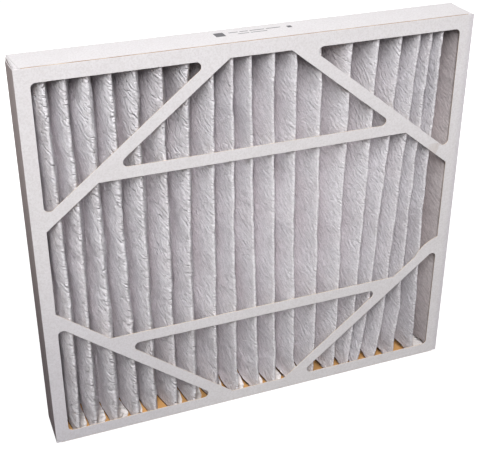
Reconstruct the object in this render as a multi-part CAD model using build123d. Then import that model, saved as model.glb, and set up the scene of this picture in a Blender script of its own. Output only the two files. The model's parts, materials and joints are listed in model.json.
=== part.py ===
"""Pleated panel air filter: two folded board trays around one sheet of pleated media.

Millimetres, +Z up. The filter stands on its lower edge, the side that air enters faces -Y, and the
origin is the middle of the base.
"""
from build123d import *
import math
import os

# Outer size of the frame: a nominal 20 x 18 x 2 inch filter
frame_width = 495.3
frame_height = 444.5
frame_depth = 44.45

# Board and its folds
board = 0.7
fold_play = 0.1
fold_radius = 0.55
fold_end_trim = 0.8
outer_flap_taper = 4.0

# Lattice cut into both faces, measured from its own middle
side_border = 15.4
end_border = 14.9
bar_width = 12.7
bar_height = 101.1
hexagon_half_side = 49.7
trapezoid_half_top = 33.5
acute_corner_radius = 5.5
blunt_corner_radius = 1.2

# The front lattice was cut a little out of register, and one of its struts is swollen
front_register_x = -0.6
front_register_z = -0.95
swelling_length = 37.0
swelling_rise = 4.0

# Media: one folded sheet, its tips held by beads of adhesive and its end legs by strips
media_thickness = 2.2
tip_radius = 1.6
media_play = 0.3
bead_thickness = 1.8
bead_height = 6.0
bead_play = 0.05
end_strip_thickness = 0.8
end_strip_depth = 10.0
end_strip_margin = 12.0
end_leg_reach = 7.2

# Uneven pleats, from the left: the steps from tip to tip along the front at mid height,
# and how far each tip leans sideways at the head and at the foot of the pack
tip_steps = (20, 18.5, 21.5, 22.5, 23, 26, 23, 28, 22.5, 23, 24.5, 24, 30, 29.5, 29, 21, 21, 17.5, 18, 30.5)
head_lean = (-3, -5, -3, -3, -3, -1, -1, 3, 1, -1, -4, -4, -2, -4, 2, 4, 12, 13, 10, 5, 1)
foot_lean = (-1, -3, -3, 0, 3, 1, 0, 1, -1, 2, 6, 3, 5, 3, 2, -6, -10, -7, -1, 6, 0)

# Worked out from the sizes above
nest_step = board + fold_play
wall_stack = board + nest_step
lattice_half_width = frame_width / 2 - side_border
lattice_half_height = frame_height / 2 - end_border
strut_slope = (lattice_half_height - hexagon_half_side) / (lattice_half_width - trapezoid_half_top)
strut_rise = bar_width * math.hypot(1, strut_slope)
bar_inner = bar_height - bar_width / 2
bar_outer = bar_height + bar_width / 2


def strut_x(height, rise=0.0):
    """X of the upper right strut's edge at a height; rise lifts the edge."""
    return lattice_half_width - (height - hexagon_half_side - rise) / strut_slope


def outline(points, radii):
    """A closed face through the points, each corner with its own radius."""
    return make_face(FilletPolyline(*points, radius=radii, close=True).edges())


def hexagon():
    """The middle opening, cut across at its four corners by the struts."""
    side = lattice_half_width
    half = hexagon_half_side
    turn = strut_x(bar_inner)
    right = [(side, -half), (side, half), (turn, bar_inner)]
    left = [(-turn, bar_inner), (-side, half), (-side, -half)]
    foot = [(-turn, -bar_inner), (turn, -bar_inner)]
    points = right + left + foot
    return outline(points, [blunt_corner_radius] * len(points))


def trapezoid():
    """The opening between the upper bar and the upper border."""
    low = strut_x(bar_outer)
    top = trapezoid_half_top
    points = [(low, bar_outer), (top, lattice_half_height), (-top, lattice_half_height), (-low, bar_outer)]
    radii = [acute_corner_radius, blunt_corner_radius, blunt_corner_radius, acute_corner_radius]
    return outline(points, radii)


def corner_triangle():
    """The opening outside the upper right strut."""
    side = lattice_half_width
    head = lattice_half_height
    points = [(side, head), (strut_x(head, strut_rise), head), (side, hexagon_half_side + strut_rise)]
    return outline(points, [acute_corner_radius] * len(points))


def lattice_openings():
    """All seven openings as one flat sketch about the lattice's middle."""
    upper = trapezoid() + corner_triangle() + mirror(corner_triangle(), Plane.YZ)
    return hexagon() + upper + mirror(upper, Plane.XZ)


def strut_swelling():
    """The lens of board by which the lower right strut is too wide near the border."""
    end_x = lattice_half_width
    end_z = -hexagon_half_side
    reach = swelling_length / math.hypot(1, strut_slope)
    start_x = end_x - reach
    start_z = end_z - reach * strut_slope
    middle_x = (start_x + end_x) / 2 - swelling_rise * strut_slope / math.hypot(1, strut_slope)
    middle_z = (start_z + end_z) / 2 + swelling_rise / math.hypot(1, strut_slope)
    bow = ThreePointArc((start_x, start_z), (middle_x, middle_z), (end_x, end_z))
    below = Line((end_x, end_z), (end_x, end_z - board))
    back = Line((end_x, end_z - board), (start_x, start_z - board))
    close = Line((start_x, start_z - board), (start_x, start_z))
    return make_face([*bow.edges(), *below.edges(), *back.edges(), *close.edges()])


def upright(sketch, front, thickness, middle_x=0.0, middle_z=0.0):
    """The flat sketch stood up as a plate, its front at Y = front."""
    stand = Pos(middle_x, front + thickness, middle_z) * Rot(90, 0, 0)
    return stand * extrude(sketch, thickness)


def flap(fold_length, reach, taper):
    """A wall's flat shape: fold along X, each end drawn in by the taper at its free edge in +Y."""
    free = fold_length / 2 - taper
    fold = fold_length / 2
    return make_face(Polyline((-fold, 0), (fold, 0), (free, reach), (-free, reach), close=True).edges())


def folded_tray(width, height, side_reach, side_trim, side_taper, end_reach, end_trim, end_taper):
    """A blank plate with four walls folded back from it; the front is at Y = 0, the middle at Z = 0."""
    plate = Pos(0, board / 2, 0) * Box(width, board, height)
    front_edges = plate.faces().sort_by(Axis.Y)[0].edges()
    plate = fillet(front_edges, fold_radius)
    side = extrude(flap(height - 2 * side_trim, side_reach - fold_radius, side_taper), board)
    end = extrude(flap(width - 2 * end_trim, end_reach - fold_radius, end_taper), board)
    top = Pos(0, fold_radius, height / 2 - board) * end
    right = Pos(width / 2, fold_radius, 0) * Rot(0, -90, 0) * side
    walls = top + right + mirror(top, Plane.XY) + mirror(right, Plane.YZ)
    return plate + walls


def front_tray():
    """Its side walls are the outermost layer, and its top and bottom walls lie inside the rear tray's."""
    sizes = {
        "width": frame_width,
        "height": frame_height - 2 * nest_step,
        "side_reach": frame_depth,
        "side_trim": fold_end_trim,
        "side_taper": outer_flap_taper,
        "end_reach": frame_depth - nest_step,
        "end_trim": 2 * nest_step,
        "end_taper": 0,
    }
    openings = upright(lattice_openings(), 0, board, front_register_x, front_register_z)
    swelling = upright(strut_swelling(), 0, board, front_register_x, front_register_z)
    tray = folded_tray(**sizes) - openings + swelling
    return Pos(0, -frame_depth / 2, frame_height / 2) * tray


def rear_tray():
    """The same board turned: its top and bottom walls are the outermost layer."""
    sizes = {
        "width": frame_width - 2 * nest_step,
        "height": frame_height,
        "side_reach": frame_depth - nest_step,
        "side_trim": 2 * nest_step,
        "side_taper": 0,
        "end_reach": frame_depth,
        "end_trim": fold_end_trim,
        "end_taper": outer_flap_taper,
    }
    tray = folded_tray(**sizes) - upright(lattice_openings(), 0, board)
    return Pos(0, frame_depth / 2, frame_height / 2) * Rot(0, 0, 180) * tray


# Room for the media inside the two trays
room_half_width = frame_width / 2 - wall_stack
front_tip_y = -frame_depth / 2 + board + bead_thickness + bead_play
rear_tip_y = -front_tip_y
leg_x = room_half_width - end_strip_thickness - media_thickness / 2
leg_bend_y = rear_tip_y - end_strip_depth
media_bottom = wall_stack + media_play
media_top = frame_height - media_bottom


def tip_places(lean):
    """X of each front tip, the steps spread over the room between the two end legs."""
    first = -leg_x + end_leg_reach
    last = leg_x - end_leg_reach
    total = sum(tip_steps)
    run = [sum(tip_steps[:count]) for count in range(len(tip_steps) + 1)]
    return [first + (last - first) * gone / total + aside for gone, aside in zip(run, lean)]


def fold_centres(lean):
    """Centres of all folds from left to right: front tips, with a rear fold midway between two."""
    outer_radius = tip_radius + media_thickness / 2
    tips = tip_places(lean)
    centres = [Vector(tips[0], front_tip_y + outer_radius)]
    for before, after in zip(tips, tips[1:]):
        centres.append(Vector((before + after) / 2, rear_tip_y - outer_radius))
        centres.append(Vector(after, front_tip_y + outer_radius))
    return centres


def left_of(angle):
    """Unit vector square to a heading, on its left."""
    return Vector(-math.sin(angle), math.cos(angle))


def headings(bend_in, centres, bend_out):
    """Heading of each straight wall, tangent to the folds at its two ends.

    The sheet turns left around a front fold and right around a rear one, so each wall crosses the line
    between its two centres. The bends of the end legs count as folds of no radius.
    """
    stops = [bend_in, *centres, bend_out]
    last = len(stops) - 2
    angles = []
    for place, (start, end) in enumerate(zip(stops, stops[1:])):
        span = end - start
        radii = tip_radius if place in (0, last) else 2 * tip_radius
        towards_rear = 1 if place % 2 else -1
        angles.append(math.atan2(span.Y, span.X) + towards_rear * math.asin(radii / span.length))
    return angles


def mitre(corner, heading_in, heading_out, offset):
    """The corner of a bend, moved to one side of the sheet."""
    both = left_of(heading_in) + left_of(heading_out)
    return corner + both * (offset / (1 + left_of(heading_in).dot(left_of(heading_out))))


def sheet_side(lean, side):
    """Edges of one side of the folded sheet, left to right: side is 1 for its left, -1 for its right."""
    offset = side * media_thickness / 2
    start = Vector(-leg_x, rear_tip_y)
    finish = Vector(leg_x, rear_tip_y)
    bend_in = Vector(-leg_x, leg_bend_y)
    bend_out = Vector(leg_x, leg_bend_y)
    forward = -math.pi / 2
    centres = fold_centres(lean)
    angles = headings(bend_in, centres, bend_out)
    first_bend = mitre(bend_in, forward, angles[0], offset)
    last_bend = mitre(bend_out, angles[-1], -forward, offset)
    edges = [Line(start + left_of(forward) * offset, first_bend)]
    at = first_bend
    for place, centre in enumerate(centres):
        turn = -1 if place % 2 else 1
        reach = turn * tip_radius - offset
        onto = centre - left_of(angles[place]) * reach
        crest = centre - left_of((angles[place] + angles[place + 1]) / 2) * reach
        off = centre - left_of(angles[place + 1]) * reach
        edges.append(Line(at, onto))
        edges.append(ThreePointArc(onto, crest, off))
        at = off
    edges.append(Line(at, last_bend))
    edges.append(Line(last_bend, finish + left_of(-forward) * offset))
    return edges


def media_section(lean, height):
    """The folded sheet seen from above, at one height."""
    left = sheet_side(lean, 1)
    right = sheet_side(lean, -1)
    head = Line(left[0] @ 0, right[0] @ 0)
    tail = Line(left[-1] @ 1, right[-1] @ 1)
    edges = [edge for part in [head, *left, tail, *right] for edge in part.edges()]
    return Pos(0, 0, height) * make_face(edges)


def pleated_media():
    """The sheet between its foot, its middle and its head, each with its own lean."""
    upright_tips = [0] * len(head_lean)
    sections = [
        media_section(foot_lean, media_bottom),
        media_section(upright_tips, frame_height / 2),
        media_section(head_lean, media_top),
    ]
    return loft([section.face() for section in sections], ruled=True)


def tip_bead(front, middle_z):
    """A bead of adhesive behind a horizontal bar, from one strut to the other."""
    place = Pos(0, front + bead_thickness / 2, middle_z)
    return place * Box(2 * strut_x(bar_inner), bead_thickness, bead_height)


def end_strip(side):
    """The adhesive between a side wall and the end leg of the media: side is 1 for the right."""
    height = media_top - media_bottom - 2 * end_strip_margin
    middle_x = side * (room_half_width - end_strip_thickness / 2)
    middle_y = (leg_bend_y + rear_tip_y) / 2
    place = Pos(middle_x, middle_y, frame_height / 2)
    return place * Box(end_strip_thickness, end_strip_depth, height)


front_bead_y = -frame_depth / 2 + board
rear_bead_y = frame_depth / 2 - board - bead_thickness
front_middle_z = frame_height / 2 + front_register_z

nodes = {
    "front_tray": front_tray(),
    "rear_tray": rear_tray(),
    "pleated_media": pleated_media(),
    "left_end_glue": end_strip(-1),
    "right_end_glue": end_strip(1),
    "front_upper_glue": tip_bead(front_bead_y, front_middle_z + bar_height),
    "front_lower_glue": tip_bead(front_bead_y, front_middle_z - bar_height),
    "rear_upper_glue": tip_bead(rear_bead_y, frame_height / 2 + bar_height),
    "rear_lower_glue": tip_bead(rear_bead_y, frame_height / 2 - bar_height),
}

os.makedirs("parts", exist_ok=True)
for name, solid in nodes.items():
    export_step(solid, f"parts/{name}.step")
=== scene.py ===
import json
import math
import bpy
import numpy as np
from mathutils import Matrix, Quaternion, Vector

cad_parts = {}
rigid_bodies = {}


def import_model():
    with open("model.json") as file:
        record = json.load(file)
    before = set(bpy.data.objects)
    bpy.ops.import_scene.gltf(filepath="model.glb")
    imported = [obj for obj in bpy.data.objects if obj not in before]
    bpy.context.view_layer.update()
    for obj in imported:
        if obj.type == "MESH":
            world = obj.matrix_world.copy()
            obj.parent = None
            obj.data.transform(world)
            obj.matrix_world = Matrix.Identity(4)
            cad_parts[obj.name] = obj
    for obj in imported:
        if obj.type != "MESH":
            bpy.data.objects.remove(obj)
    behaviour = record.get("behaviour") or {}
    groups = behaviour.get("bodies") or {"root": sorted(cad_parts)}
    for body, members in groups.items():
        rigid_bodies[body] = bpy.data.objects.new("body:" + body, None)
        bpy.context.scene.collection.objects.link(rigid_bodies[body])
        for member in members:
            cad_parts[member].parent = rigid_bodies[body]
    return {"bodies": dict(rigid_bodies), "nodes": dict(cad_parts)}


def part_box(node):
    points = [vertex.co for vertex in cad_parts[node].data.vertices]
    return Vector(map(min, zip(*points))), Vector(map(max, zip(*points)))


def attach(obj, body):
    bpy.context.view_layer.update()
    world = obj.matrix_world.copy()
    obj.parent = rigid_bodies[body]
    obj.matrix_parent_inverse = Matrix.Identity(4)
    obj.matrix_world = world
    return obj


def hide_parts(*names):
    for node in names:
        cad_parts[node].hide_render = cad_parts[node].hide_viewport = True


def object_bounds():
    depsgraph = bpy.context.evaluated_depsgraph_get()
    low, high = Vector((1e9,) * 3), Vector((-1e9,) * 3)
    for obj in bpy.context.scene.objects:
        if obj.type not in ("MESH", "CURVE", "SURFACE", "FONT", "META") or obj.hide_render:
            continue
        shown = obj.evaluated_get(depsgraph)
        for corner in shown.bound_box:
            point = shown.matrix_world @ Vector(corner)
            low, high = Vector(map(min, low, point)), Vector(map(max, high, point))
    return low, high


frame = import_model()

cadLow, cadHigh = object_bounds()
mm = 0.001
body = list(frame["bodies"])[0]
halfDepth = cadHigh[1]           # the frame's two faces lie at this distance from Y = 0
print("frame loaded")


# Shader helpers

def newMaterial(name):
    material = bpy.data.materials.new(name)
    material.use_nodes = True
    tree = material.node_tree
    return material, tree, tree.nodes["Principled BSDF"]


def feed(tree, socket, value):
    # a socket takes another node's output or a fixed value
    if isinstance(value, bpy.types.NodeSocket):
        tree.links.new(value, socket)
    else:
        socket.default_value = value


def calc(tree, operation, a, b=None, c=None, clamp=False):
    node = tree.nodes.new("ShaderNodeMath")
    node.operation = operation
    node.use_clamp = clamp
    for socket, value in zip(node.inputs, (a, b, c)):
        if value is not None:
            feed(tree, socket, value)
    return node.outputs[0]


def apart(tree, a, b):
    return calc(tree, "ABSOLUTE", calc(tree, "SUBTRACT", a, b))


def times(tree, first, *others):
    # the product of all the values
    for value in others:
        first = calc(tree, "MULTIPLY", first, value)
    return first


def weighted(tree, parts, clamp=False):
    # the sum of value times weight over all the parts
    total = 0.0
    for value, weight in parts:
        total = calc(tree, "MULTIPLY_ADD", value, weight, total, clamp)
    return total


def between(tree, share, start, end):
    # start + (end - start) share
    return calc(tree, "MULTIPLY_ADD", share, end - start, start)


def ramp(tree, value, start, end, smooth=True):
    # 0 up to start and 1 past end; where start is the greater one, it falls
    node = tree.nodes.new("ShaderNodeMapRange")
    node.interpolation_type = "SMOOTHSTEP" if smooth else "LINEAR"
    feed(tree, node.inputs["Value"], value)
    feed(tree, node.inputs["From Min"], start)
    feed(tree, node.inputs["From Max"], end)
    return node.outputs["Result"]


def mixColour(tree, share, a, b, blend="MIX"):
    node = tree.nodes.new("ShaderNodeMix")
    node.data_type = "RGBA"
    node.blend_type = blend
    feed(tree, node.inputs["Factor"], share)
    feed(tree, node.inputs["A"], a)
    feed(tree, node.inputs["B"], b)
    return node.outputs["Result"]


def tinted(tree, colour, share, tint):
    # the colour times the tint, as far as the share says
    return mixColour(tree, share, colour, tint, "MULTIPLY")


def noise(tree, vector, scale, detail=2.0, rough=0.5, output="Fac"):
    node = tree.nodes.new("ShaderNodeTexNoise")
    feed(tree, node.inputs["Vector"], vector)
    node.inputs["Scale"].default_value = scale
    node.inputs["Detail"].default_value = detail
    node.inputs["Roughness"].default_value = rough
    return node.outputs[output]


def mapped(tree, vector, scale=(1, 1, 1), turn=0.0):
    # the vector turned about Z and stretched
    node = tree.nodes.new("ShaderNodeMapping")
    feed(tree, node.inputs["Vector"], vector)
    node.inputs["Scale"].default_value = scale
    node.inputs["Rotation"].default_value = (0, 0, turn)
    return node.outputs["Vector"]


def axes(tree, vector):
    # the x, y and z of a vector
    node = tree.nodes.new("ShaderNodeSeparateXYZ")
    feed(tree, node.inputs[0], vector)
    return node.outputs


def objectPlace(tree):
    return tree.nodes.new("ShaderNodeTexCoord").outputs["Object"]


def attribute(tree, name):
    node = tree.nodes.new("ShaderNodeAttribute")
    node.attribute_name = name
    return node.outputs["Fac"]


def addBump(tree, shader, height, strength, distance):
    bump = tree.nodes.new("ShaderNodeBump")
    bump.inputs["Strength"].default_value = strength
    bump.inputs["Distance"].default_value = distance
    feed(tree, bump.inputs["Height"], height)
    feed(tree, shader.inputs["Normal"], bump.outputs["Normal"])


def newGroup(name, vectors, floats, outputs):
    # a node group with vector and float inputs and float outputs, and its sockets as seen from inside
    tree = bpy.data.node_groups.new(name, "ShaderNodeTree")
    for label in vectors:
        tree.interface.new_socket(label, in_out="INPUT", socket_type="NodeSocketVector")
    for label in floats:
        tree.interface.new_socket(label, in_out="INPUT", socket_type="NodeSocketFloat")
    for label in outputs:
        tree.interface.new_socket(label, in_out="OUTPUT", socket_type="NodeSocketFloat")
    return tree, tree.nodes.new("NodeGroupInput").outputs, tree.nodes.new("NodeGroupOutput").inputs


def useGroup(tree, group, **values):
    # the outputs of a new node of the group, fed with the values
    node = tree.nodes.new("ShaderNodeGroup")
    node.node_tree = group
    for label, value in values.items():
        feed(tree, node.inputs[label], value)
    return node.outputs


# The camera and the studio

cameraView = {
    "place": (-0.35691, -0.87989, 0.73725),
    "azimuth": -21.303,      # degrees, 0 looks along +Y
    "elevation": 28.544,
    "roll": -0.064,
    "lens": 71.516,
    "sensor": 36.0,
    "clip": (0.05, 60.0),
}

studio = {
    "ambient": (0.044, 0.037, 0.035),      # world light that reaches the object
    "floorBounce": (0.055, 0.045, 0.04),   # the floor as the object sees it
    "floorColour": (0.30, 0.30, 0.30),
    "floorLift": (0.78, 1.0),  # what the camera sees on top of the lit floor, near and far
    "floorLiftReach": (0.35, 0.95),
    "floorSize": 9.0,
    # name, place, size, watts, colour
    "lamps": [
        ("softbox", (-0.48, -1.32, 1.96), (0.43, 1.80), 63.5, (1, 0.995, 1)),
        ("lowFill", (-0.50, -1.75, 0.50), (0.90, 0.70), 3.0, (1, 1, 1)),
        ("frontFill", (1.10, -1.50, 0.45), (0.80, 0.60), 2.8, (1, 1, 1)),
        ("sideFill", (-0.50, 0.06, 0.43), (0.10, 0.10), 0.18, (1, 0.95, 0.93)),
        ("backFill", (0.45, 1.55, 0.50), (1.10, 0.60), 24.0, (1, 1, 1)),
        ("rightFill", (1.50, 0.25, 0.45), (0.60, 0.60), 11.0, (1, 1, 1)),
    ],
    "aim": (0.0, 0.0, 0.25),
}


def makeCamera(view):
    # back vector = (sin a cos e, -cos a cos e, sin e), the way from the object to the camera
    a = math.radians(view["azimuth"])
    e = math.radians(view["elevation"])
    back = Vector((math.sin(a) * math.cos(e), -math.cos(a) * math.cos(e), math.sin(e)))
    data = bpy.data.cameras.new("camera")
    data.sensor_width = view["sensor"]
    data.lens = view["lens"]
    data.clip_start, data.clip_end = view["clip"]
    camera = bpy.data.objects.new("camera", data)
    bpy.context.scene.collection.objects.link(camera)
    camera.location = view["place"]
    camera.rotation_mode = "QUATERNION"
    turn = (-back).to_track_quat("-Z", "Y")
    camera.rotation_quaternion = turn @ Quaternion((0, 0, 1), math.radians(view["roll"]))
    bpy.context.scene.camera = camera


def makeLamps(setup):
    for name, place, size, watts, colour in setup["lamps"]:
        data = bpy.data.lights.new(name, "AREA")
        data.shape = "RECTANGLE"
        data.size, data.size_y = size
        data.energy = watts
        data.color = colour
        lamp = bpy.data.objects.new(name, data)
        bpy.context.scene.collection.objects.link(lamp)
        lamp.location = place
        lamp.rotation_mode = "QUATERNION"
        lamp.rotation_quaternion = (Vector(setup["aim"]) - lamp.location).to_track_quat("-Z", "Y")


def seenDirectly(tree):
    # 1 for camera, glossy and transmission rays, 0 for the light that falls on the object
    path = tree.nodes.new("ShaderNodeLightPath").outputs
    total = calc(tree, "ADD", path["Is Camera Ray"], path["Is Glossy Ray"])
    return calc(tree, "ADD", total, path["Is Transmission Ray"], clamp=True)


def makeWorld(setup):
    world = bpy.data.worlds.new("studio")
    bpy.context.scene.world = world
    world.use_nodes = True
    tree = world.node_tree
    background = tree.nodes["Background"].inputs
    background["Strength"].default_value = 1.0
    colour = mixColour(tree, seenDirectly(tree), (*setup["ambient"], 1), (1, 1, 1, 1))
    tree.links.new(colour, background["Color"])


def makeFloor(setup):
    # the camera sees the floor lifted to white, and the object sees it as a dim bounce
    half = setup["floorSize"] / 2
    mesh = bpy.data.meshes.new("floor")
    corners = [(-half, -half, 0), (half, -half, 0), (half, half, 0), (-half, half, 0)]
    mesh.from_pydata(corners, [], [(0, 1, 2, 3)])
    floor = bpy.data.objects.new("floor", mesh)
    bpy.context.scene.collection.objects.link(floor)
    material, tree, _ = newMaterial("paleFloor")
    tree.nodes.clear()
    away = tree.nodes.new("ShaderNodeVectorMath")
    away.operation = "LENGTH"
    tree.links.new(objectPlace(tree), away.inputs[0])
    far = ramp(tree, away.outputs["Value"], *setup["floorLiftReach"])
    lit = tree.nodes.new("ShaderNodeBsdfDiffuse")
    lit.inputs["Color"].default_value = (*setup["floorColour"], 1)
    lift = tree.nodes.new("ShaderNodeEmission")
    feed(tree, lift.inputs["Strength"], between(tree, far, *setup["floorLift"]))
    seen = tree.nodes.new("ShaderNodeAddShader")
    tree.links.new(lit.outputs[0], seen.inputs[0])
    tree.links.new(lift.outputs[0], seen.inputs[1])
    bounce = tree.nodes.new("ShaderNodeBsdfDiffuse")
    bounce.inputs["Color"].default_value = (*setup["floorBounce"], 1)
    mix = tree.nodes.new("ShaderNodeMixShader")
    tree.links.new(seenDirectly(tree), mix.inputs["Fac"])
    tree.links.new(bounce.outputs[0], mix.inputs[1])
    tree.links.new(seen.outputs[0], mix.inputs[2])
    out = tree.nodes.new("ShaderNodeOutputMaterial")
    tree.links.new(mix.outputs[0], out.inputs["Surface"])
    mesh.materials.append(material)


makeCamera(cameraView)
makeLamps(studio)
makeWorld(studio)
makeFloor(studio)
bpy.context.scene.view_settings.view_transform = "Standard"
print("camera, lamps and floor made")


# Board: a white coated skin outside, brown kraft inside and at every cut edge

boardLook = {
    "white": (0.790, 0.772, 0.785, 1),
    "darkTint": (0.66, 0.635, 0.635, 1),
    "clouds": (0.35, 0.75, 0.22),         # of soiling: noise where they start and are full, and share
    "specks": (0.42, 0.62, 0.55),
    "sideShade": (0.76, 0.695, 0.68, 1),   # painted shade on the left side
    "sideLowShade": (0.68, 0.66, 0.68, 1),    # more so towards the floor
    "sideBackShade": (0.78, 0.77, 0.77, 1),   # and towards the back
    "sideFacing": (0.7, 0.95),            # how much sideways a normal is where a side starts and is full
    "topFold": 1.2 * mm,                  # the rounded fold at the top stays white
    "edgeTint": (0.90, 0.89, 0.92, 1),    # greyer towards the right outer edge of the face
    "edgeWidth": 9.0 * mm,
    "faceFacing": 0.7,                    # how much forward it is on the face
    "lowLeftShade": (0.86, 0.86, 0.89, 1),     # painted shade towards its lower left corner
    "lowLeftShadeBelow": 0.30,                 # metres above the floor
    "creaseShade": (0.90, 0.87, 0.84, 1),  # painted shade beside the crease at the end of the upper right strut
    "kraft": (0.70, 0.40, 0.16, 1),
    "kraftDark": (0.50, 0.27, 0.10, 1),
    "cutEdge": (0.88, 0.74, 0.57, 1),
    "topEdgeShadow": (0.42, 0.25, 0.14, 1),     # the rear tray's cut edges, brown with a painted seam shadow, seen as an uneven line along the top
    "topEdgeUneven": (0.32, 0.55),
    "cutDepth": 0.6 * mm,         # the die-cut edges are paler down to this depth
    "skinDepth": 0.22 * mm,
    "faceDepth": 0.3 * mm,        # what lies nearer the face than this is its own edge
    "sealedBelow": 2.0 * mm,      # the face's cut edges nearer the floor than this look white
    "sealedEnds": 7.0 * mm,       # and so do all at the top this near the two ends
    "sealedTop": 6.0 * mm,
    "roughness": 0.78,
    "specular": 0.05,
    "bump": (0.35, 2.0 * mm),
}

crease = {
    "middleX": 0.2190,
    "middleZ": 0.2888,
    "lean": -0.32,
    "shade": (-22.0 * mm, -2.0 * mm),     # across it, where its shade starts and is full
    "shadeFromX": 0.19,
    "shadeMiddleZ": 0.2838,
    "shadeHalfLength": 13.0 * mm,
}

topPrint = {
    "ink": (0.10, 0.10, 0.11, 1),
    "strength": 0.9,
    "above": 0.4,         # metres, so that only the top wall is printed
    # plain fields in mm: from the left end, from the front edge, length, width
    "fields": [
        (206, 21, 10.5, 12),
        (222, 29, 10, 1.6), (234, 29, 9, 1.6), (245, 29, 16, 1.6), (263, 29, 16, 1.6),
        (230, 23, 12, 1.4), (244, 23, 18, 1.4),
        (286, 25, 5, 6),
    ],
}


def makeSkinGroup():
    # depth below the tray's outside = the least of the distances to its face, its two sides and its
    # lower and upper edges; kraft shows where that depth is more than the thickness, skin (noise + 0.5)
    floats = ["Face", "HalfWidth", "Low", "High", "Skin"]
    tree, given, gives = newGroup("boardSkin", ["Place"], floats, ["Kraft", "Depth"])
    x, y, z = axes(tree, given["Place"])
    side = calc(tree, "SUBTRACT", given["HalfWidth"], calc(tree, "ABSOLUTE", x))
    depth = apart(tree, y, given["Face"])
    under = calc(tree, "SUBTRACT", z, given["Low"])
    over = calc(tree, "SUBTRACT", given["High"], z)
    for distance in (side, under, over):
        depth = calc(tree, "MINIMUM", depth, distance)
    ragged = noise(tree, given["Place"], scale=900.0, detail=1.0)
    thickness = times(tree, given["Skin"], calc(tree, "ADD", ragged, 0.5))
    tree.links.new(calc(tree, "GREATER_THAN", depth, thickness), gives["Kraft"])
    tree.links.new(depth, gives["Depth"])
    return tree


def makePaperGroup():
    # cloudy coating, fine fibre specks, and for the bump a long soft waviness with a little fine grain
    tree, given, gives = newGroup("paperGrain", ["Place"], [], ["Cloud", "Speck", "Height"])
    place = given["Place"]
    wave = noise(tree, place, scale=14.0)
    fine = noise(tree, place, scale=420.0, rough=0.6)
    tree.links.new(noise(tree, place, scale=38.0, detail=4.0, rough=0.6), gives["Cloud"])
    tree.links.new(noise(tree, place, scale=520.0, detail=3.0, rough=0.75), gives["Speck"])
    tree.links.new(weighted(tree, [(wave, 1.0), (fine, 0.03)]), gives["Height"])
    return tree


skinGroup = makeSkinGroup()
paperGroup = makePaperGroup()


def printedShare(tree, spot, tray, plan):
    # the strength inside any of the fields: |x - middle| < half length and |y - middle| < half width
    total = 0.0
    for startX, startY, length, width in plan["fields"]:
        middleX = (startX + length / 2) * mm - tray["halfWidth"]
        middleY = (startY + width / 2) * mm - halfDepth
        offX = apart(tree, spot["x"], middleX)
        offY = apart(tree, spot["y"], middleY)
        within = times(
            tree,
            calc(tree, "LESS_THAN", offX, length / 2 * mm),
            calc(tree, "LESS_THAN", offY, width / 2 * mm),
        )
        total = calc(tree, "MAXIMUM", total, within)
    return times(tree, total, calc(tree, "GREATER_THAN", spot["z"], plan["above"]), plan["strength"])


def shadeSide(tree, colour, spot, tray, look):
    # painted shade on the left side, darker towards the floor and the back
    onSide = times(
        tree,
        ramp(tree, spot["sideways"], *look["sideFacing"]),
        calc(tree, "LESS_THAN", spot["z"], tray["high"] - look["topFold"]),
        calc(tree, "LESS_THAN", spot["x"], 0.0),
    )
    down = times(tree, onSide, ramp(tree, spot["z"], tray["high"], tray["low"], False))
    back = times(tree, onSide, ramp(tree, spot["y"], -halfDepth, halfDepth, False))
    colour = tinted(tree, colour, onSide, look["sideShade"])
    colour = tinted(tree, colour, down, look["sideLowShade"])
    return tinted(tree, colour, back, look["sideBackShade"])


def besideCrease(tree, spot, line):
    # a soft share to the left of the line x - middleX + lean (z - middleZ) = 0, over a short length
    across = calc(
        tree, "MULTIPLY_ADD",
        calc(tree, "SUBTRACT", spot["z"], line["middleZ"]), line["lean"],
        calc(tree, "SUBTRACT", spot["x"], line["middleX"]),
    )
    rise = apart(tree, spot["z"], line["shadeMiddleZ"])
    return times(
        tree,
        ramp(tree, across, *line["shade"]),
        calc(tree, "LESS_THAN", across, 0.0),
        calc(tree, "GREATER_THAN", spot["x"], line["shadeFromX"]),
        calc(tree, "LESS_THAN", rise, line["shadeHalfLength"]),
    )


def shadeFace(tree, colour, spot, tray, look):
    # the front face is greyer along its right edge, with painted shade towards its lower left corner and
    # beside the crease
    halfWidth = tray["halfWidth"]
    lowLeft = times(
        tree,
        ramp(tree, spot["z"], look["lowLeftShadeBelow"], 0.0),
        ramp(tree, spot["x"], 0.0, -halfWidth),
    )
    rightEdge = times(
        tree,
        ramp(tree, spot["x"], halfWidth - look["edgeWidth"], halfWidth),
        calc(tree, "GREATER_THAN", spot["forward"], look["faceFacing"]),
    )
    colour = tinted(tree, colour, lowLeft, look["lowLeftShade"])
    colour = tinted(tree, colour, rightEdge, look["edgeTint"])
    # painted shade beside the crease
    return tinted(tree, colour, besideCrease(tree, spot, crease), look["creaseShade"])


def unsealedShare(tree, spot, tray, look):
    # 0 on the cut edges that look white: those of the face next to the floor, and those at the top near
    # the two ends; 1 elsewhere
    outward = calc(tree, "ABSOLUTE", spot["y"])
    behindFace = calc(tree, "LESS_THAN", outward, abs(tray["face"]) - look["faceDepth"])
    offFloor = calc(tree, "GREATER_THAN", spot["z"], look["sealedBelow"])
    aside = calc(tree, "ABSOLUTE", spot["x"])
    offEnds = calc(tree, "LESS_THAN", aside, tray["halfWidth"] - look["sealedEnds"])
    offTop = calc(tree, "LESS_THAN", spot["z"], tray["high"] - look["sealedTop"])
    return times(
        tree,
        calc(tree, "MAXIMUM", behindFace, offFloor),
        calc(tree, "MAXIMUM", offEnds, offTop),
    )


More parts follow.
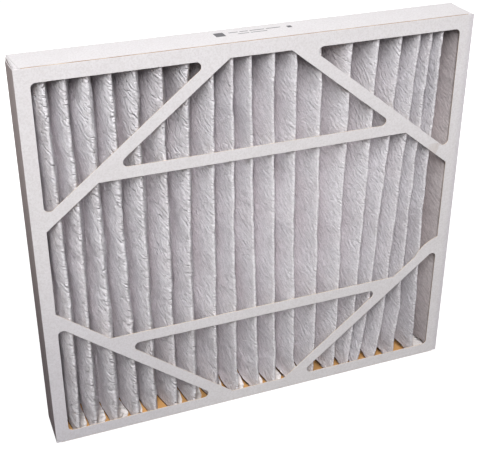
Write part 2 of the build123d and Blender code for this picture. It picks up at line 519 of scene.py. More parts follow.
def makeBoard(name, tray, look):
    material, tree, shader = newMaterial(name)
    place = objectPlace(tree)
    x, y, z = axes(tree, place)
    normal = axes(tree, tree.nodes.new("ShaderNodeNewGeometry").outputs["Normal"])
    spot = {"x": x, "y": y, "z": z}
    spot["sideways"] = calc(tree, "ABSOLUTE", normal["X"])
    spot["forward"] = calc(tree, "ABSOLUTE", normal["Y"])
    skin = useGroup(
        tree, skinGroup, Place=place, Face=tray["face"], HalfWidth=tray["halfWidth"],
        Low=tray["low"], High=tray["high"], Skin=look["skinDepth"],
    )
    paper = useGroup(tree, paperGroup, Place=place)
    white = look["white"]
    for grain, label in (("Cloud", "clouds"), ("Speck", "specks")):
        start, end, share = look[label]
        shown = times(tree, ramp(tree, paper[grain], start, end), share)
        white = mixColour(tree, shown, white, look["darkTint"])
    white = shadeSide(tree, white, spot, tray, look)
    edge = look["cutEdge"]
    if tray["face"] < 0:
        white = shadeFace(tree, white, spot, tray, look)
    else:
        white = mixColour(tree, printedShare(tree, spot, tray, topPrint), white, topPrint["ink"])
        # the rear tray's cut edges, darkened in places by a painted seam shadow
        alongX = noise(tree, mapped(tree, place, scale=(1, 0, 0)), scale=26.0)
        edge = mixColour(tree, ramp(tree, alongX, *look["topEdgeUneven"]), edge, look["topEdgeShadow"])
    kraft = mixColour(tree, paper["Speck"], look["kraftDark"], look["kraft"])
    kraft = mixColour(tree, calc(tree, "LESS_THAN", skin["Depth"], look["cutDepth"]), kraft, edge)
    bare = times(tree, skin["Kraft"], unsealedShare(tree, spot, tray, look))
    tree.links.new(mixColour(tree, bare, white, kraft), shader.inputs["Base Color"])
    shader.inputs["Roughness"].default_value = look["roughness"]
    shader.inputs["Specular IOR Level"].default_value = look["specular"]
    addBump(tree, shader, paper["Height"], *look["bump"])
    return material


def dress(node, material):
    for slot in frame["nodes"][node].material_slots:
        slot.material = material


def dressTrays(look):
    frontLow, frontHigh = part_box("front_tray")
    rearLow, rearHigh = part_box("rear_tray")
    front = {"face": frontLow[1], "halfWidth": frontHigh[0], "low": frontLow[2], "high": frontHigh[2]}
    rear = {"face": rearHigh[1], "halfWidth": rearHigh[0], "low": rearLow[2], "high": rearHigh[2]}
    dress("front_tray", makeBoard("frontBoard", front, look))
    dress("rear_tray", makeBoard("rearBoard", rear, look))


dressTrays(boardLook)
print("trays dressed")


# Adhesive: cream hot melt, a little glossy

glueLook = {
    "colour": (0.80, 0.74, 0.58, 1),
    "dark": (0.64, 0.592, 0.464, 1),
    "roughness": 0.35,
    "bump": (0.5, 0.6 * mm),
}


def dressGlue(look):
    material, tree, shader = newMaterial("hotMelt")
    place = objectPlace(tree)
    cloud = noise(tree, place, scale=160.0)
    tree.links.new(mixColour(tree, cloud, look["dark"], look["colour"]), shader.inputs["Base Color"])
    shader.inputs["Roughness"].default_value = look["roughness"]
    addBump(tree, shader, noise(tree, place, scale=220.0, detail=1.0), *look["bump"])
    for node in frame["nodes"]:
        if node.endswith("_glue"):
            dress(node, material)


dressGlue(glueLook)
print("adhesive dressed")


# Media: one folded sheet of non-woven, uneven, with bulging walls and ragged feet.
# Wall k runs from fold k - 1 to fold k, from left to right: even folds are the front tips, and channel c
# lies between walls 2 c + 1, its left one, and 2 c + 2.

media = {
    # from tip to tip at mid height, and how far each tip leans sideways at the head and at the foot, in mm
    "tipSteps": (20, 18.5, 21.5, 22.5, 23, 26, 23, 28, 22.5, 23,
                 24.5, 24, 30, 29.5, 29, 21, 21, 17.5, 18, 30.5),
    "headLean": (-3, -4.5, -2, -2.5, -2.5, -1, -0.5, 3, 1.5, 0, -4, -3, -2, -4, 2, 4.5, 12, 13.5, 10, 5, 1),
    "footLean": (-1, -3, -3, 0.5, 3.5, 1, 0.5, 1, 0, 3.5, 8, 5.5, 6, 3, 2, -6.5, -11, -8, -2, 6, 0),
    "leanRounding": 0.25,        # how softly one lean turns into the other at mid height
    "tipShift": 0.5 * mm,
    # how far each tip swings sideways in its lowest part, in mm
    "footSweep": (0, 0, 0, 0, 0, -0.5, -1, -0.5, -0.5, 0, 0, -0.5, 0.5, -1.5, -2.5, -4, -6.5, -8, -4, 0, 0),
    "sweepHeight": 70.0 * mm,
    "sweepPower": 1.5,
    "legReach": 7.2 * mm,        # from an end leg to the first tip
    "endDepth": 10.0 * mm,       # length of the two end legs
    "thickness": 2.2 * mm,
    "tipThickness": 1.6 * mm,    # pressed thinner at the tips that face the air
    "rearThickness": 1.7 * mm,   # and at the folds behind, between the channels
    "pressedShare": 0.2,         # of a wall's depth, at each end
    "frontRadius": 0.9 * mm,     # of the sheet's middle at the tips
    "rearRadius": 1.4 * mm,
    # the tips at the left are rounder and their walls fuller, up to tip 9 and fading over the last five
    "rounderTips": (9, 5),
    "rounderBy": 0.5 * mm,
    "rounderBulge": 0.4,
    "rounderLean": 0.25,
    "bulge": (0.078, 0.024),     # of the walls that face left and right, as a share of the step
    "bulgeSpread": 0.014,
    "bulgeLean": 0.80,           # below 1 the walls are fullest near the tips
    "footBulge": 0.45,           # share of the bulge that is left at the floor
    "footBulgeHeight": 30.0 * mm,
    "endStep": 5.0 * mm,         # stands for the step at the two outermost walls
    # wander and nicks of the tips and wander of the rear folds: how far, and shortest and longest wave
    "crestWander": (0.35 * mm, 60.0 * mm, 300.0 * mm),
    "crestNick": (0.22 * mm, 12.0 * mm, 50.0 * mm),
    "rearWander": (1.2 * mm, 80.0 * mm, 300.0 * mm),
    "wrinkle": 0.16 * mm,
    "wrinkleWaves": {"seed": 207, "count": 70, "waves": (12.0 * mm, 40.0 * mm), "angle": 45, "spread": 14},
    "lump": 0.3 * mm,
    "lumpWaves": {"seed": 307, "count": 30, "waves": (50.0 * mm, 120.0 * mm), "angle": 0, "spread": 60},
    # shares of wrinkles and lumps that are left at the folds, the floor, the right end and the last wall
    "calmFolds": 0.35,
    "calmFoldsRise": 1.6,        # above 1 more of a wall's middle has its full share
    "calmFloor": 0.3,
    "calmFloorHeight": 12.0 * mm,
    "calmRight": 0.5,
    "calmRightReach": (0.6, 1.1),    # metres along the flat sheet
    "calmLast": 0.3,
    "wanderSeed": 7,
    "nickSeed": 107,
    "rearSeed": 57,
    "bulgeSeed": 7,
    "wallShares": (0.0, 0.04, 0.12, 0.25, 0.42, 0.62, 0.82),   # the columns of a wall, from its front tip
    "frontColumns": 5,
    "rearColumns": 3,
    "footRows": 20,
    "footRowsReach": 42.0 * mm,
    "footRowsPower": 1.7,        # above 1 the rows lie closest at the floor
    "rows": 86,
}

# The ragged feet of the channels, from left to right; the lists are in mm
feet = {
    # how far the foot of the left wall runs out flat over the floor
    "flare": (1, 8, 10, 12, 5, 1, 8, 8, 9, 9.5, 9, 10.5, 9, 0, 0, 6, 5, 1, 0, 28),
    # how far the cut edge of the right wall stands off the floor: lift by the rear fold, gap from near
    # the tip on, and slant more and more from the tip inwards
    "lift": (1, 12.5, 7.5, 6.5, 0, 0, 3, 2, 11, 9, 12, 6, 11, 7, 6, 3, 3, 3, 2, 7),
    "gap": (2, 2, 2, 2, 0, 0, 2, 2, 2, 2, 2, 2, 2, 1, 1, 1, 1, 1, 2, 7),
    "slant": (0, 0, 0, 0, 0, 0, 0, 0, 0, 0, 0, 0, 0, 8, 9, 0, 16, 5, 10, 0),
    # how far that edge curls out to the left
    "curl": (0, 0, 0, 0, 0, 0, 0, 0, 0, 1.5, 1, 3, 2, 3, 1.5, 0, 0, 3, 1, 0),
    "curlHeight": 7.0 * mm,
    "height": 10.0 * mm,         # of the part of the left wall that runs out
    "spreadPower": 2.2,
    "climbPower": 1.4,
    "flareDepths": (0, 0.05, 0.15, 0.4, 0.85, 1),   # shares of the way from the tip to the rear fold
    "flareShares": (0, 0.35, 0.75, 1, 0.55, 0),
    "flatFrom": 3.0 * mm,        # a flap this long lies flat
    "liftHeight": 50.0 * mm,     # where a lift has faded out
    "liftFade": 1.5,
    "liftFrom": 0.4,
    "liftPower": 2.5,
    "gapFull": 0.25,
    "slantFull": 0.6,
    "underPlay": 2.0 * mm,       # the right wall gives way to a flap that comes this near
    "foldLift": 0.8,             # share of the lift that the left wall takes on at the rear fold
    "foldLiftFrom": 0.7,
    "foldLiftPower": 1.5,
    "flapDepths": (0.9, 0.75),   # where the pale flaps end and are fully pale
    "flapHeights": (1.5, 0.5),   # and in heights of the foot
}


def rising(values, start, end):
    # straight from 0 at start to 1 at end and level past both; where start is the greater one, it falls
    return np.clip((values - start) / (end - start), 0, 1)


def leftOf(heading):
    # unit vectors square to the headings, on their left
    return np.stack([-np.sin(heading), np.cos(heading)], axis=-1)


def streakNoise(across, along, seed, count, waves, angle, spread):
    # sum of cos(k (cos a across + sin a along) + phase) / sqrt(count / 2), with 2 pi / k between the two
    # wave lengths and a near the angle, give or take the spread
    rng = np.random.default_rng(seed)
    turn = np.radians(angle + rng.normal(0, spread, count))
    size = 2 * np.pi / np.exp(rng.uniform(*np.log(waves), count))
    phase = rng.uniform(0, 2 * np.pi, count)
    total = np.zeros_like(across)
    for k in range(count):
        total += np.cos(size[k] * (np.cos(turn[k]) * across + np.sin(turn[k]) * along) + phase[k])
    return total / math.sqrt(count / 2)


def lineNoise(along, seed, amount, shortest, longest, count=6):
    # amount times the sum of cos(k along + phase) / sqrt(count / 2), with 2 pi / k from shortest to longest
    rng = np.random.default_rng(seed)
    size = 2 * np.pi / np.exp(rng.uniform(np.log(shortest), np.log(longest), count))
    phase = rng.uniform(0, 2 * np.pi, count)
    return amount * np.cos(size * along[..., None] + phase).sum(-1) / math.sqrt(count / 2)


def rounderShare(plan, tip):
    # (last - tip) / fade, from 1 at the first tips to 0
    last, fade = plan["rounderTips"]
    return rising(tip, last, last - fade)


def tipPlaces(plan, heights, legX):
    # x of each tip = its place by the steps + head (soft + t) / 2 + foot (soft - t) / 2 + sweep down^power,
    # with t from -1 at the foot to 1 at the head and soft = sqrt(t^2 + rounding^2)
    run = np.concatenate([[0], np.cumsum(plan["tipSteps"])]) / sum(plan["tipSteps"])
    first = -legX + plan["legReach"]
    t = rising(heights, heights[0], heights[-1])[:, None] * 2 - 1
    soft = np.hypot(t, plan["leanRounding"])
    lean = (soft + t) / 2 * np.array(plan["headLean"]) + (soft - t) / 2 * np.array(plan["footLean"])
    down = rising(heights - heights[0], plan["sweepHeight"], 0)[:, None] ** plan["sweepPower"]
    tipX = first * (1 - 2 * run) + plan["tipShift"] + (lean + down * np.array(plan["footSweep"])) * mm
    for k in range(tipX.shape[1]):
        tipX[:, k] += lineNoise(heights, plan["wanderSeed"] + k, *plan["crestWander"])
        tipX[:, k] += lineNoise(heights, plan["nickSeed"] + k, *plan["crestNick"])
    return tipX


def foldCentres(plan, heights, legX, low, high):
    # centres of all the folds at each height: a rear fold lies midway between two tips, and a rounder
    # tip lies as much further left and back as its radius is greater
    tipX = tipPlaces(plan, heights, legX)
    rounder = rounderShare(plan, np.arange(tipX.shape[1])) * plan["rounderBy"]
    tipX = tipX - rounder
    centres = np.zeros((len(heights), 2 * tipX.shape[1] - 1, 2))
    centres[:, 0::2, 0] = tipX
    centres[:, 0::2, 1] = low[1] + plan["frontRadius"] + rounder + plan["tipThickness"] / 2
    centres[:, 1::2, 0] = (tipX[:, :-1] + tipX[:, 1:]) / 2
    centres[:, 1::2, 1] = high[1] - plan["rearRadius"] - plan["rearThickness"] / 2
    for k in range(1, centres.shape[1], 2):
        centres[:, k, 0] += lineNoise(heights, plan["rearSeed"] + k, *plan["rearWander"])
    return centres


def wallBulge(plan, k, step, above, chance):
    # how far wall k bulges at each height: a share of the step, less near the floor, more at the left
    share = plan["bulge"][k % 2] + plan["bulgeSpread"] * chance
    atFloor = plan["footBulge"]
    full = atFloor + (1 - atFloor) * rising(above, 0, plan["footBulgeHeight"])
    return share * step * full * (1 + plan["rounderBulge"] * rounderShare(plan, k // 2))


def sheetPlan(plan, heights, low, high):
    # the middle of the sheet, seen from above, for every height at once: an arc round each fold,
    # centre - reach leftOf(heading), with reach = radius at a tip and -radius at a rear fold, and a
    # bulging wall between two folds, start + (end - start) s - leftOf(heading) bulge sin(pi depth^lean).
    # wallOf is k for wall k, -1 for the end legs and -2 - k for fold k; shareOf runs from 0 to 1 along it
    legX = high[0] - plan["thickness"] / 2
    legEnd = high[1] - plan["endDepth"]
    centres = foldCentres(plan, heights, legX, low, high)
    rows, count, _ = centres.shape
    isTip = np.arange(count) % 2 == 0
    rounder = rounderShare(plan, np.arange(count) / 2) * plan["rounderBy"]
    radii = np.where(isTip, plan["frontRadius"] + rounder, plan["rearRadius"])
    reach = np.append(np.where(isTip, radii, -radii), 0)
    bendIn = np.broadcast_to([-legX, legEnd], (rows, 1, 2))
    bendOut = np.broadcast_to([legX, legEnd], (rows, 1, 2))
    stops = np.concatenate([bendIn, centres, bendOut], axis=1)
    # each wall is tangent to the folds at its two ends and crosses the line between their centres
    span = np.diff(stops, axis=1)
    towards = np.where(np.arange(count + 1) % 2 == 1, 1.0, -1.0)
    bothRadii = np.append(0, radii) + np.append(radii, 0)
    crossing = np.arcsin(bothRadii / np.linalg.norm(span, axis=2))
    angle = np.arctan2(span[..., 1], span[..., 0]) + towards * crossing
    left = leftOf(angle)
    rng = np.random.default_rng(plan["bulgeSeed"])
    columns, wallOf, shareOf = [], [], []

    def add(points, wall, share):
        columns.append(np.broadcast_to(points, (rows, 2)))
        wallOf.append(wall)
        shareOf.append(share)

    for share in (0.0, 0.5):
        add([-legX, high[1] + (legEnd - high[1]) * share], -1, share)
    at = stops[:, 0]
    for k in range(count + 1):
        if k in (0, count):
            step = plan["endStep"]
        else:
            step = np.linalg.norm(stops[:, k + 1] - stops[:, k - 1], axis=1)
        bulge = wallBulge(plan, k, step, heights - heights[0], rng.normal())
        lean = plan["bulgeLean"] - plan["rounderLean"] * rounderShare(plan, k // 2)
        end = stops[:, k + 1]
        onto = end - left[:, k] * reach[k]
        shares = np.array(plan["wallShares"])
        if k % 2 == 0:
            shares = np.append(0, 1 - shares[:0:-1])
        for share in shares:
            depth = 1 - share if k % 2 == 0 else share
            push = bulge * math.sin(math.pi * depth ** lean)
            add(at + (onto - at) * share - left[:, k] * push[:, None], k, share)
        if k < count:
            pieces = plan["frontColumns"] if isTip[k] else plan["rearColumns"]
            for share in np.arange(pieces) / pieces:
                heading = angle[:, k] + (angle[:, k + 1] - angle[:, k]) * share
                add(end - leftOf(heading) * reach[k], -2 - k, share)
            at = end - left[:, k + 1] * reach[k]
    for share in (0.0, 0.5, 1.0):
        add([legX, legEnd + (high[1] - legEnd) * share], -1, share)
    return np.stack(columns, axis=1), np.array(wallOf), np.array(shareOf)


def shapeFoot(foot, thickness, points, above, wallOf, shareOf):
    # with h the share of the foot's height, the left wall of a channel runs out by flare (1 - h)^spread
    # and climbs by height h^climb from its flat flap to its own height; the cut edge of the right wall
    # stands over that flap by gap + slant + lift, which fades with height, and curls out to the left
    # by curl sin(pi depth)
    upwards = rising(above, 0, foot["height"])[:, None]
    spread = (1 - upwards) ** foot["spreadPower"]
    climb = foot["height"] * upwards ** foot["climbPower"]
    climb = climb + np.maximum(above - foot["height"], 0)[:, None]
    lying = points[0, 0, 2] + np.maximum(climb, thickness / 2)
    carry = rising(above, foot["liftHeight"], 0)[:, None] ** foot["liftFade"]
    curling = rising(above, foot["curlHeight"], 0)[:, None] ** 2
    for channel, flare in enumerate(foot["flare"]):
        left = np.flatnonzero(wallOf == 2 * channel + 1)
        right = np.flatnonzero(wallOf == 2 * channel + 2)
        fold = np.flatnonzero(wallOf == -3 - 2 * channel)
        depthLeft = shareOf[left]
        depthRight = 1 - shareOf[right]
        reachLeft = flare * mm * np.interp(depthLeft, foot["flareDepths"], foot["flareShares"])
        reachRight = flare * mm * np.interp(depthRight, foot["flareDepths"], foot["flareShares"])
        room = points[0, right, 0] - np.interp(depthRight, depthLeft, points[0, left, 0]) - thickness
        under = thickness * rising(reachRight - room, -foot["underPlay"], 0)
        raised = foot["lift"][channel] * mm * rising(depthRight, foot["liftFrom"], 1) ** foot["liftPower"]
        gap = foot["gap"][channel] * mm * rising(depthRight, 0, foot["gapFull"])
        slant = foot["slant"][channel] * mm * np.minimum(depthRight, foot["slantFull"])
        lift = gap + slant + np.maximum(under, raised)
        points[:, left, 0] += spread * reachLeft
        points[:, left, 2] += (lying - points[:, left, 2]) * rising(reachLeft, 0, foot["flatFrom"])
        nearFold = rising(depthLeft, foot["foldLiftFrom"], 1) ** foot["foldLiftPower"]
        points[:, left, 2] += carry * lift.max() * foot["foldLift"] * nearFold
        points[:, right, 2] += carry * lift
        points[:, right, 0] -= curling * foot["curl"][channel] * mm * np.sin(np.pi * depthRight)
        overFold = foot["foldLift"] + (1 - foot["foldLift"]) * shareOf[fold]
        points[:, fold, 2] += carry * lift.max() * overFold


def sheetMiddle(plan, foot, low, high):
    # the middle surface as a grid of points (rows, columns, 3), its running length and its rows' heights
    near = np.linspace(0, 1, plan["footRows"] + 1) ** plan["footRowsPower"] * plan["footRowsReach"]
    rest = np.linspace(near[-1], high[2] - low[2], plan["rows"] + 1)
    above = np.concatenate([near, rest[1:]])
    path, wallOf, shareOf = sheetPlan(plan, low[2] + above, low, high)
    rows, columns = path.shape[:2]
    steps = np.linalg.norm(np.diff(path[rows // 2], axis=0), axis=1)
    running = np.concatenate([[0], np.cumsum(steps)])
    points = np.dstack([path, np.repeat(low[2] + above[:, None], columns, axis=1)])
    shapeFoot(foot, plan["thickness"], points, above, wallOf, shareOf)
    return points, running, above, wallOf, shareOf


def surfaceNormals(points):
    # cross product of the two grid directions; it points to the front of a sheet that runs left to right
    normal = np.cross(np.gradient(points, axis=1), np.gradient(points, axis=0))
    return normal / np.maximum(np.linalg.norm(normal, axis=2, keepdims=True), 1e-12)


def closedSheet(name, front, back, uvs):
    # two grids joined round their rim, every face outward
    points = np.concatenate([front.reshape(-1, 3), back.reshape(-1, 3)])
    index = np.arange(front[..., 0].size).reshape(front.shape[:2])
    a, b = index[:-1, :-1].ravel(), index[:-1, 1:].ravel()
    c, d = index[1:, 1:].ravel(), index[1:, :-1].ravel()
    facesFront = np.stack([a, b, c, d], 1)
    facesBack = np.stack([a, d, c, b], 1) + index.size
    ring = np.concatenate([index[0, :], index[1:, -1], index[-1, -2::-1], index[-2:0:-1, 0]])
    after = np.roll(ring, -1)
    facesRim = np.stack([after, ring, ring + index.size, after + index.size], 1)
    faces = np.concatenate([facesFront, facesBack, facesRim])
    mesh = bpy.data.meshes.new(name)
    mesh.vertices.add(len(points))
    mesh.vertices.foreach_set("co", points.ravel())
    mesh.loops.add(faces.size)
    mesh.loops.foreach_set("vertex_index", faces.ravel())
    mesh.polygons.add(len(faces))
    mesh.polygons.foreach_set("loop_start", np.arange(0, faces.size, 4))
    layer = mesh.uv_layers.new(name="sheet")
    both = np.tile(uvs.reshape(-1, 2), (2, 1))
    layer.data.foreach_set("uv", both[faces.ravel()].ravel())
    mesh.update(calc_edges=True)
    mesh.validate()
    mesh.shade_smooth()
    made = bpy.data.objects.new(name, mesh)
    bpy.context.scene.collection.objects.link(made)
    return made


def tipDepth(wallOf, shareOf):
    # 0 on the front tips, 1 on the rear folds and the end legs, and the share of the way on the walls
    even = wallOf % 2 == 0
    onWall = np.where(even, 1 - shareOf, shareOf)
    return np.where(wallOf >= 0, onWall, np.where(even, 0.0, 1.0))


def unevenness(plan, u, v, wallOf, shareOf, last):
    # wrinkles and lumps square to the sheet: full in the middle of a wall, sin(pi share), and calmer at
    # the folds, near the floor, towards the right and on the last wall
    push = plan["wrinkle"] * streakNoise(u, v, **plan["wrinkleWaves"])
    push += plan["lump"] * streakNoise(u, v, **plan["lumpWaves"])
    middle = np.where(wallOf >= 0, np.sin(np.pi * shareOf), 0)
    atFold = plan["calmFolds"]
    push *= atFold + (1 - atFold) * np.clip(middle * plan["calmFoldsRise"], 0, 1)
    push *= np.maximum(rising(v, 0, plan["calmFloorHeight"]), plan["calmFloor"])
    push *= 1 - (1 - plan["calmRight"]) * rising(u, *plan["calmRightReach"])
    return push * np.where(last, plan["calmLast"], 1)


def halfThickness(plan, depth):
    # thinner over the pressed share of the depth at the tips and at the rear folds
    pressed = plan["pressedShare"]
    swell = (plan["thickness"] - plan["tipThickness"]) * rising(depth, 0, pressed)
    shrink = (plan["thickness"] - plan["rearThickness"]) * rising(depth, 1 - pressed, 1)
    return (plan["tipThickness"] + swell - shrink) / 2


def addFloat(mesh, name, front, back):
    layer = mesh.attributes.new(name, "FLOAT", "POINT")
    values = np.concatenate([front.ravel(), back.ravel()])
    layer.data.foreach_set("value", values.astype(np.float32))


def markSheet(mesh, foot, above, wallOf, depth, last):
    # depth is 0 at the tips and 1 at the rear folds, the other way round behind; flap is 1 on the feet
    # that lie flat on the floor; lastWallShade is 1 on the front of the last wall, for its painted shade;
    # cutEdge is the height over the cut edges that stand off the floor, and 1 m elsewhere
    column = above[:, None]
    depths = np.repeat(depth[None, :], len(above), axis=0)
    addFloat(mesh, "depth", depths, 1 - depths)
    isLeftWall = (wallOf >= 0) & (wallOf % 2 == 1)
    flap = rising(column / foot["height"], *foot["flapHeights"]) * rising(depth, *foot["flapDepths"])
    addFloat(mesh, "flap", flap * isLeftWall, flap * isLeftWall)
    lastWallShade = np.where(last, 1.0, 0.0 * column)
    addFloat(mesh, "lastWallShade", lastWallShade, 0 * lastWallShade)
    isRightWall = (wallOf >= 0) & (wallOf % 2 == 0) & ~last
    isRearFold = (wallOf < -1) & (wallOf % 2 == 1)
    cutEdge = np.where(isRightWall | isRearFold, column, 1.0)
    addFloat(mesh, "cutEdge", cutEdge, cutEdge)


def makeMedia(plan, foot):
    low, high = (np.array(corner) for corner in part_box("pleated_media"))
    middle, running, above, wallOf, shareOf = sheetMiddle(plan, foot, low, high)
    last = wallOf == 2 * len(foot["flare"])    # the right wall of the last channel
    depth = tipDepth(wallOf, shareOf)
    u = np.repeat(running[None, :], len(above), axis=0)
    v = middle[..., 2] - low[2]
    push = unevenness(plan, u, v, wallOf, shareOf, last)
    middle = middle + surfaceNormals(middle) * push[..., None]
    offset = surfaceNormals(middle) * halfThickness(plan, depth)[:, None]
    front = np.clip(middle + offset, low, high)
    back = np.clip(middle - offset, low, high)
    sheet = closedSheet("pleatedSheet", front, back, np.dstack([u, v]))
    markSheet(sheet.data, foot, above, wallOf, depth, last)
    return sheet, float(running[-1]), float(high[2] - low[2])


# Fibres lie slantwise on the flat sheet: their sizes are waves for each metre along and across them
fibreLook = {
    "turn": math.radians(45),
    "warps": ((32.0, 0.010), (130.0, 0.0022)),    # scale of each slow warp, and how far it shifts, m
    "streaks": (95, 380, 1),
    "fine": (260, 850, 1),
    "creases": (38, 120, 1),
    "creaseWidth": 0.035,
    "mottle": 520.0,
    "heights": (0.75, 0.36, 0.48),        # weights of streaks, fine ones and mottle
}

mediaLook = {
    "pale": (0.965, 0.950, 0.985, 1),
    "dull": (0.690, 0.675, 0.700, 1),
    "shade": (0.30, 0.60, 0.40),          # weights of mottle, streaks and fine ones
    "shadeRange": (0.50, 0.80),
    "warm": (0.940, 0.895, 0.895, 1),     # painted warm shade towards the bottom of the channels, and warmer patches of tone
    "warmShadeDepths": (0.15, 0.9),
    "patchScale": 18.0,
    "warmPatches": (0.45, 0.65),
    "warmShares": (0.55, 0.30),
    "deepShade": (0.94, 0.93, 0.935, 1),       # painted shade, a little darker away from the tips
    "deepDepths": (0.05, 0.6),
    "foldShade": (0.80, 0.78, 0.78, 1),      # painted shade in the folds at the bottom of the channels
    "inFoldDepths": (0.88, 0.99),
    "darkTint": (0.70, 0.695, 0.705, 1),    # painted shade towards the bottom, the top and the right
    "paintedShadeShares": (0.22, 0.33, 0.66),
    "paintedShadeBelow": (0.17, 0.05),
    "paintedShadeAbove": (0.28, 0.37),
    "paintedShadeAboveAlong": (0.30, 0.60),     # metres along the flat sheet
    "paintedShadeAlong": (0.95, 1.75),
    "tuftHighlight": (0.92, 0.91, 0.925, 1),      # stray fibres along the tips, paler, with a painted highlight where they catch the light
    "tuftHighlightWaves": (420, 230, 1),
    "tuftHighlightSpots": (0.50, 0.68),
    "tuftHighlightShares": (0.15, 0.75),
    "tuftHighlightDepths": (0.17, 0.0),
    "lastWallShade": (0.77, 0.725, 0.70, 1),      # painted shade on the last wall
    "flap": (0.90, 0.865, 0.845, 1),      # the feet that lie on the floor, kept pale over the painted shade around them
    "flapRange": (0.3, 0.7),
    "flapShare": 0.85,
    "gapShadow": (0.07, 0.035, 0.018, 1),       # painted shadow along the cut edges that stand off the floor
    "gapShadowHeights": (2.3 * mm, 1.7 * mm),
    "gapShadowDepths": (0.2, 0.4),
    "leftEnd": (0.90, 0.45),              # metres along the sheet where the left end starts and is full
    # shares away from the left end and at it
    "inFoldShares": (1.0, 0.15),
    "tuftHighlightKept": (1.0, 0.3),
    "relief": (0.75, 1.10),
    "creases": (0.12, 0.42),
    "floorHeights": (0.15, 0.08),
    "floorRelief": (1.0, 1.35),           # above the floor and near it
    "lastWallShadeRelief": (1.0, 0.4),            # elsewhere and on the last wall
    "bump": (1.0, 2.8 * mm),
    "roughness": 0.85,
    "specular": 0.05,
}


def makeFibreGroup(look):
    # long soft streaks, short fine ones and an even mottle, all but the mottle bent by slow warps; a
    # crease is a thin groove where a wide noise crosses its middle, a soft ramp of |wide - 0.5| / width
    labels = ["Streak", "Fine", "Mottle", "Height", "Crease"]
    tree, given, gives = newGroup("slantedFibres", ["Flat"], [], labels)
    flat = given["Flat"]
    bent = flat
    for scale, amount in look["warps"]:
        shift = tree.nodes.new("ShaderNodeVectorMath")
        shift.operation = "MULTIPLY_ADD"
        feed(tree, shift.inputs[0], noise(tree, flat, scale, output="Color"))
        shift.inputs[1].default_value = (amount, amount, 0)
        feed(tree, shift.inputs[2], bent)
        bent = shift.outputs[0]
    turned = mapped(tree, bent, turn=look["turn"])
    streak = noise(tree, mapped(tree, turned, look["streaks"]), scale=1.0, detail=3.0, rough=0.6)
    fine = noise(tree, mapped(tree, turned, look["fine"]), scale=1.0, rough=0.6)
    mottle = noise(tree, flat, scale=look["mottle"], rough=0.6)
    wide = noise(tree, mapped(tree, turned, look["creases"]), scale=1.0, detail=1.0)
    off = apart(tree, wide, 0.5)
    height = weighted(tree, zip([streak, fine, mottle], look["heights"]))
    groove = ramp(tree, off, 0.0, look["creaseWidth"])
    for label, value in zip(labels, (streak, fine, mottle, height, groove)):
        tree.links.new(value, gives[label])
    return tree


def fibreColour(tree, flat, depth, fibres, look):
    # pale and dull fibres, with painted warm shade towards the bottom of the channels and warmer patches
    kinds = [fibres["Mottle"], fibres["Streak"], fibres["Fine"]]
    shade = weighted(tree, zip(kinds, look["shade"]))
    colour = mixColour(tree, ramp(tree, shade, *look["shadeRange"]), look["dull"], look["pale"])
    inward = ramp(tree, depth, *look["warmShadeDepths"])
    patches = ramp(tree, noise(tree, flat, look["patchScale"]), *look["warmPatches"])
    warmth = weighted(tree, zip([inward, patches], look["warmShares"]), clamp=True)
    return tinted(tree, colour, warmth, look["warm"])


def paintedShadeShare(tree, u, v, look):
    # the weighted sum of the painted shade at the bottom, at the top and towards the right, up to 1
    below = ramp(tree, v, *look["paintedShadeBelow"])
    above = times(tree, ramp(tree, v, *look["paintedShadeAbove"]), ramp(tree, u, *look["paintedShadeAboveAlong"]))
    along = ramp(tree, u, *look["paintedShadeAlong"])
    return weighted(tree, zip([below, above, along], look["paintedShadeShares"]), clamp=True)


def tuftHighlightShare(tree, flat, depth, leftward, look):
    # tufts in small spots along the tips with a painted highlight, fewer at the left end
    spots = noise(tree, mapped(tree, flat, look["tuftHighlightWaves"]), scale=1.0, rough=0.6)
    return times(
        tree,
        between(tree, ramp(tree, spots, *look["tuftHighlightSpots"]), *look["tuftHighlightShares"]),
        ramp(tree, depth, *look["tuftHighlightDepths"]),
        between(tree, leftward, *look["tuftHighlightKept"]),
    )


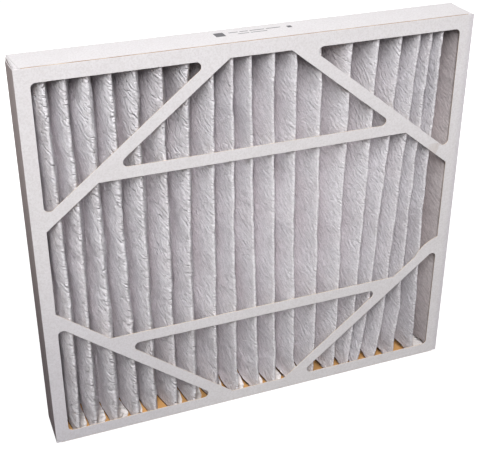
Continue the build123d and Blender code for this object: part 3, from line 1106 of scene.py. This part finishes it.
def reliefHeight(tree, v, leftward, lastWallShade, fibres, look):
    # bump = (fibres relief(leftward) + creases share(leftward)) floor(v) calm(lastWallShade)
    nearFloor = ramp(tree, v, *look["floorHeights"])
    strength = times(
        tree,
        between(tree, nearFloor, *look["floorRelief"]),
        between(tree, lastWallShade, *look["lastWallShadeRelief"]),
    )
    total = calc(
        tree, "ADD",
        times(tree, fibres["Height"], between(tree, leftward, *look["relief"])),
        times(tree, fibres["Crease"], between(tree, leftward, *look["creases"])),
    )
    return times(tree, total, strength)


def dressMedia(sheet, look, fibreGroup):
    material, tree, shader = newMaterial("nonWoven")
    uv = tree.nodes.new("ShaderNodeUVMap")
    uv.uv_map = "sheet"
    flat = uv.outputs["UV"]
    u, v, _ = axes(tree, flat)
    depth = attribute(tree, "depth")
    lastWallShade = attribute(tree, "lastWallShade")
    fibres = useGroup(tree, fibreGroup, Flat=flat)
    leftward = ramp(tree, u, *look["leftEnd"])
    colour = fibreColour(tree, flat, depth, fibres, look)
    # painted shade towards the bottom, the top and the right
    colour = tinted(tree, colour, paintedShadeShare(tree, u, v, look), look["darkTint"])
    # painted shade away from the tips
    colour = tinted(tree, colour, ramp(tree, depth, *look["deepDepths"], False), look["deepShade"])
    # painted highlight on stray fibres along the tips
    colour = mixColour(tree, tuftHighlightShare(tree, flat, depth, leftward, look), colour, look["tuftHighlight"])
    # painted shade in the folds at the bottom of the channels, weaker at the left end
    foldShadeKept = between(tree, leftward, *look["inFoldShares"])
    foldShade = times(tree, ramp(tree, depth, *look["inFoldDepths"]), foldShadeKept)
    colour = tinted(tree, colour, foldShade, look["foldShade"])
    # painted shade on the last wall
    colour = tinted(tree, colour, lastWallShade, look["lastWallShade"])
    onFlap = times(tree, ramp(tree, attribute(tree, "flap"), *look["flapRange"]), look["flapShare"])
    colour = mixColour(tree, onFlap, colour, look["flap"])
    # painted shadow of the gap under the cut edges that stand off the floor
    onGapShadow = times(
        tree,
        ramp(tree, attribute(tree, "cutEdge"), *look["gapShadowHeights"]),
        ramp(tree, depth, *look["gapShadowDepths"]),
    )
    colour = mixColour(tree, onGapShadow, colour, look["gapShadow"])
    tree.links.new(colour, shader.inputs["Base Color"])
    shader.inputs["Roughness"].default_value = look["roughness"]
    shader.inputs["Specular IOR Level"].default_value = look["specular"]
    addBump(tree, shader, reliefHeight(tree, v, leftward, lastWallShade, fibres, look), *look["bump"])
    sheet.data.materials.append(material)


sheet, sheetLength, sheetHeight = makeMedia(media, feet)
dressMedia(sheet, mediaLook, makeFibreGroup(fibreLook))
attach(sheet, body)
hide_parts("pleated_media")
print("media made:", round(sheetLength, 3), "m of sheet,", len(sheet.data.polygons), "faces")
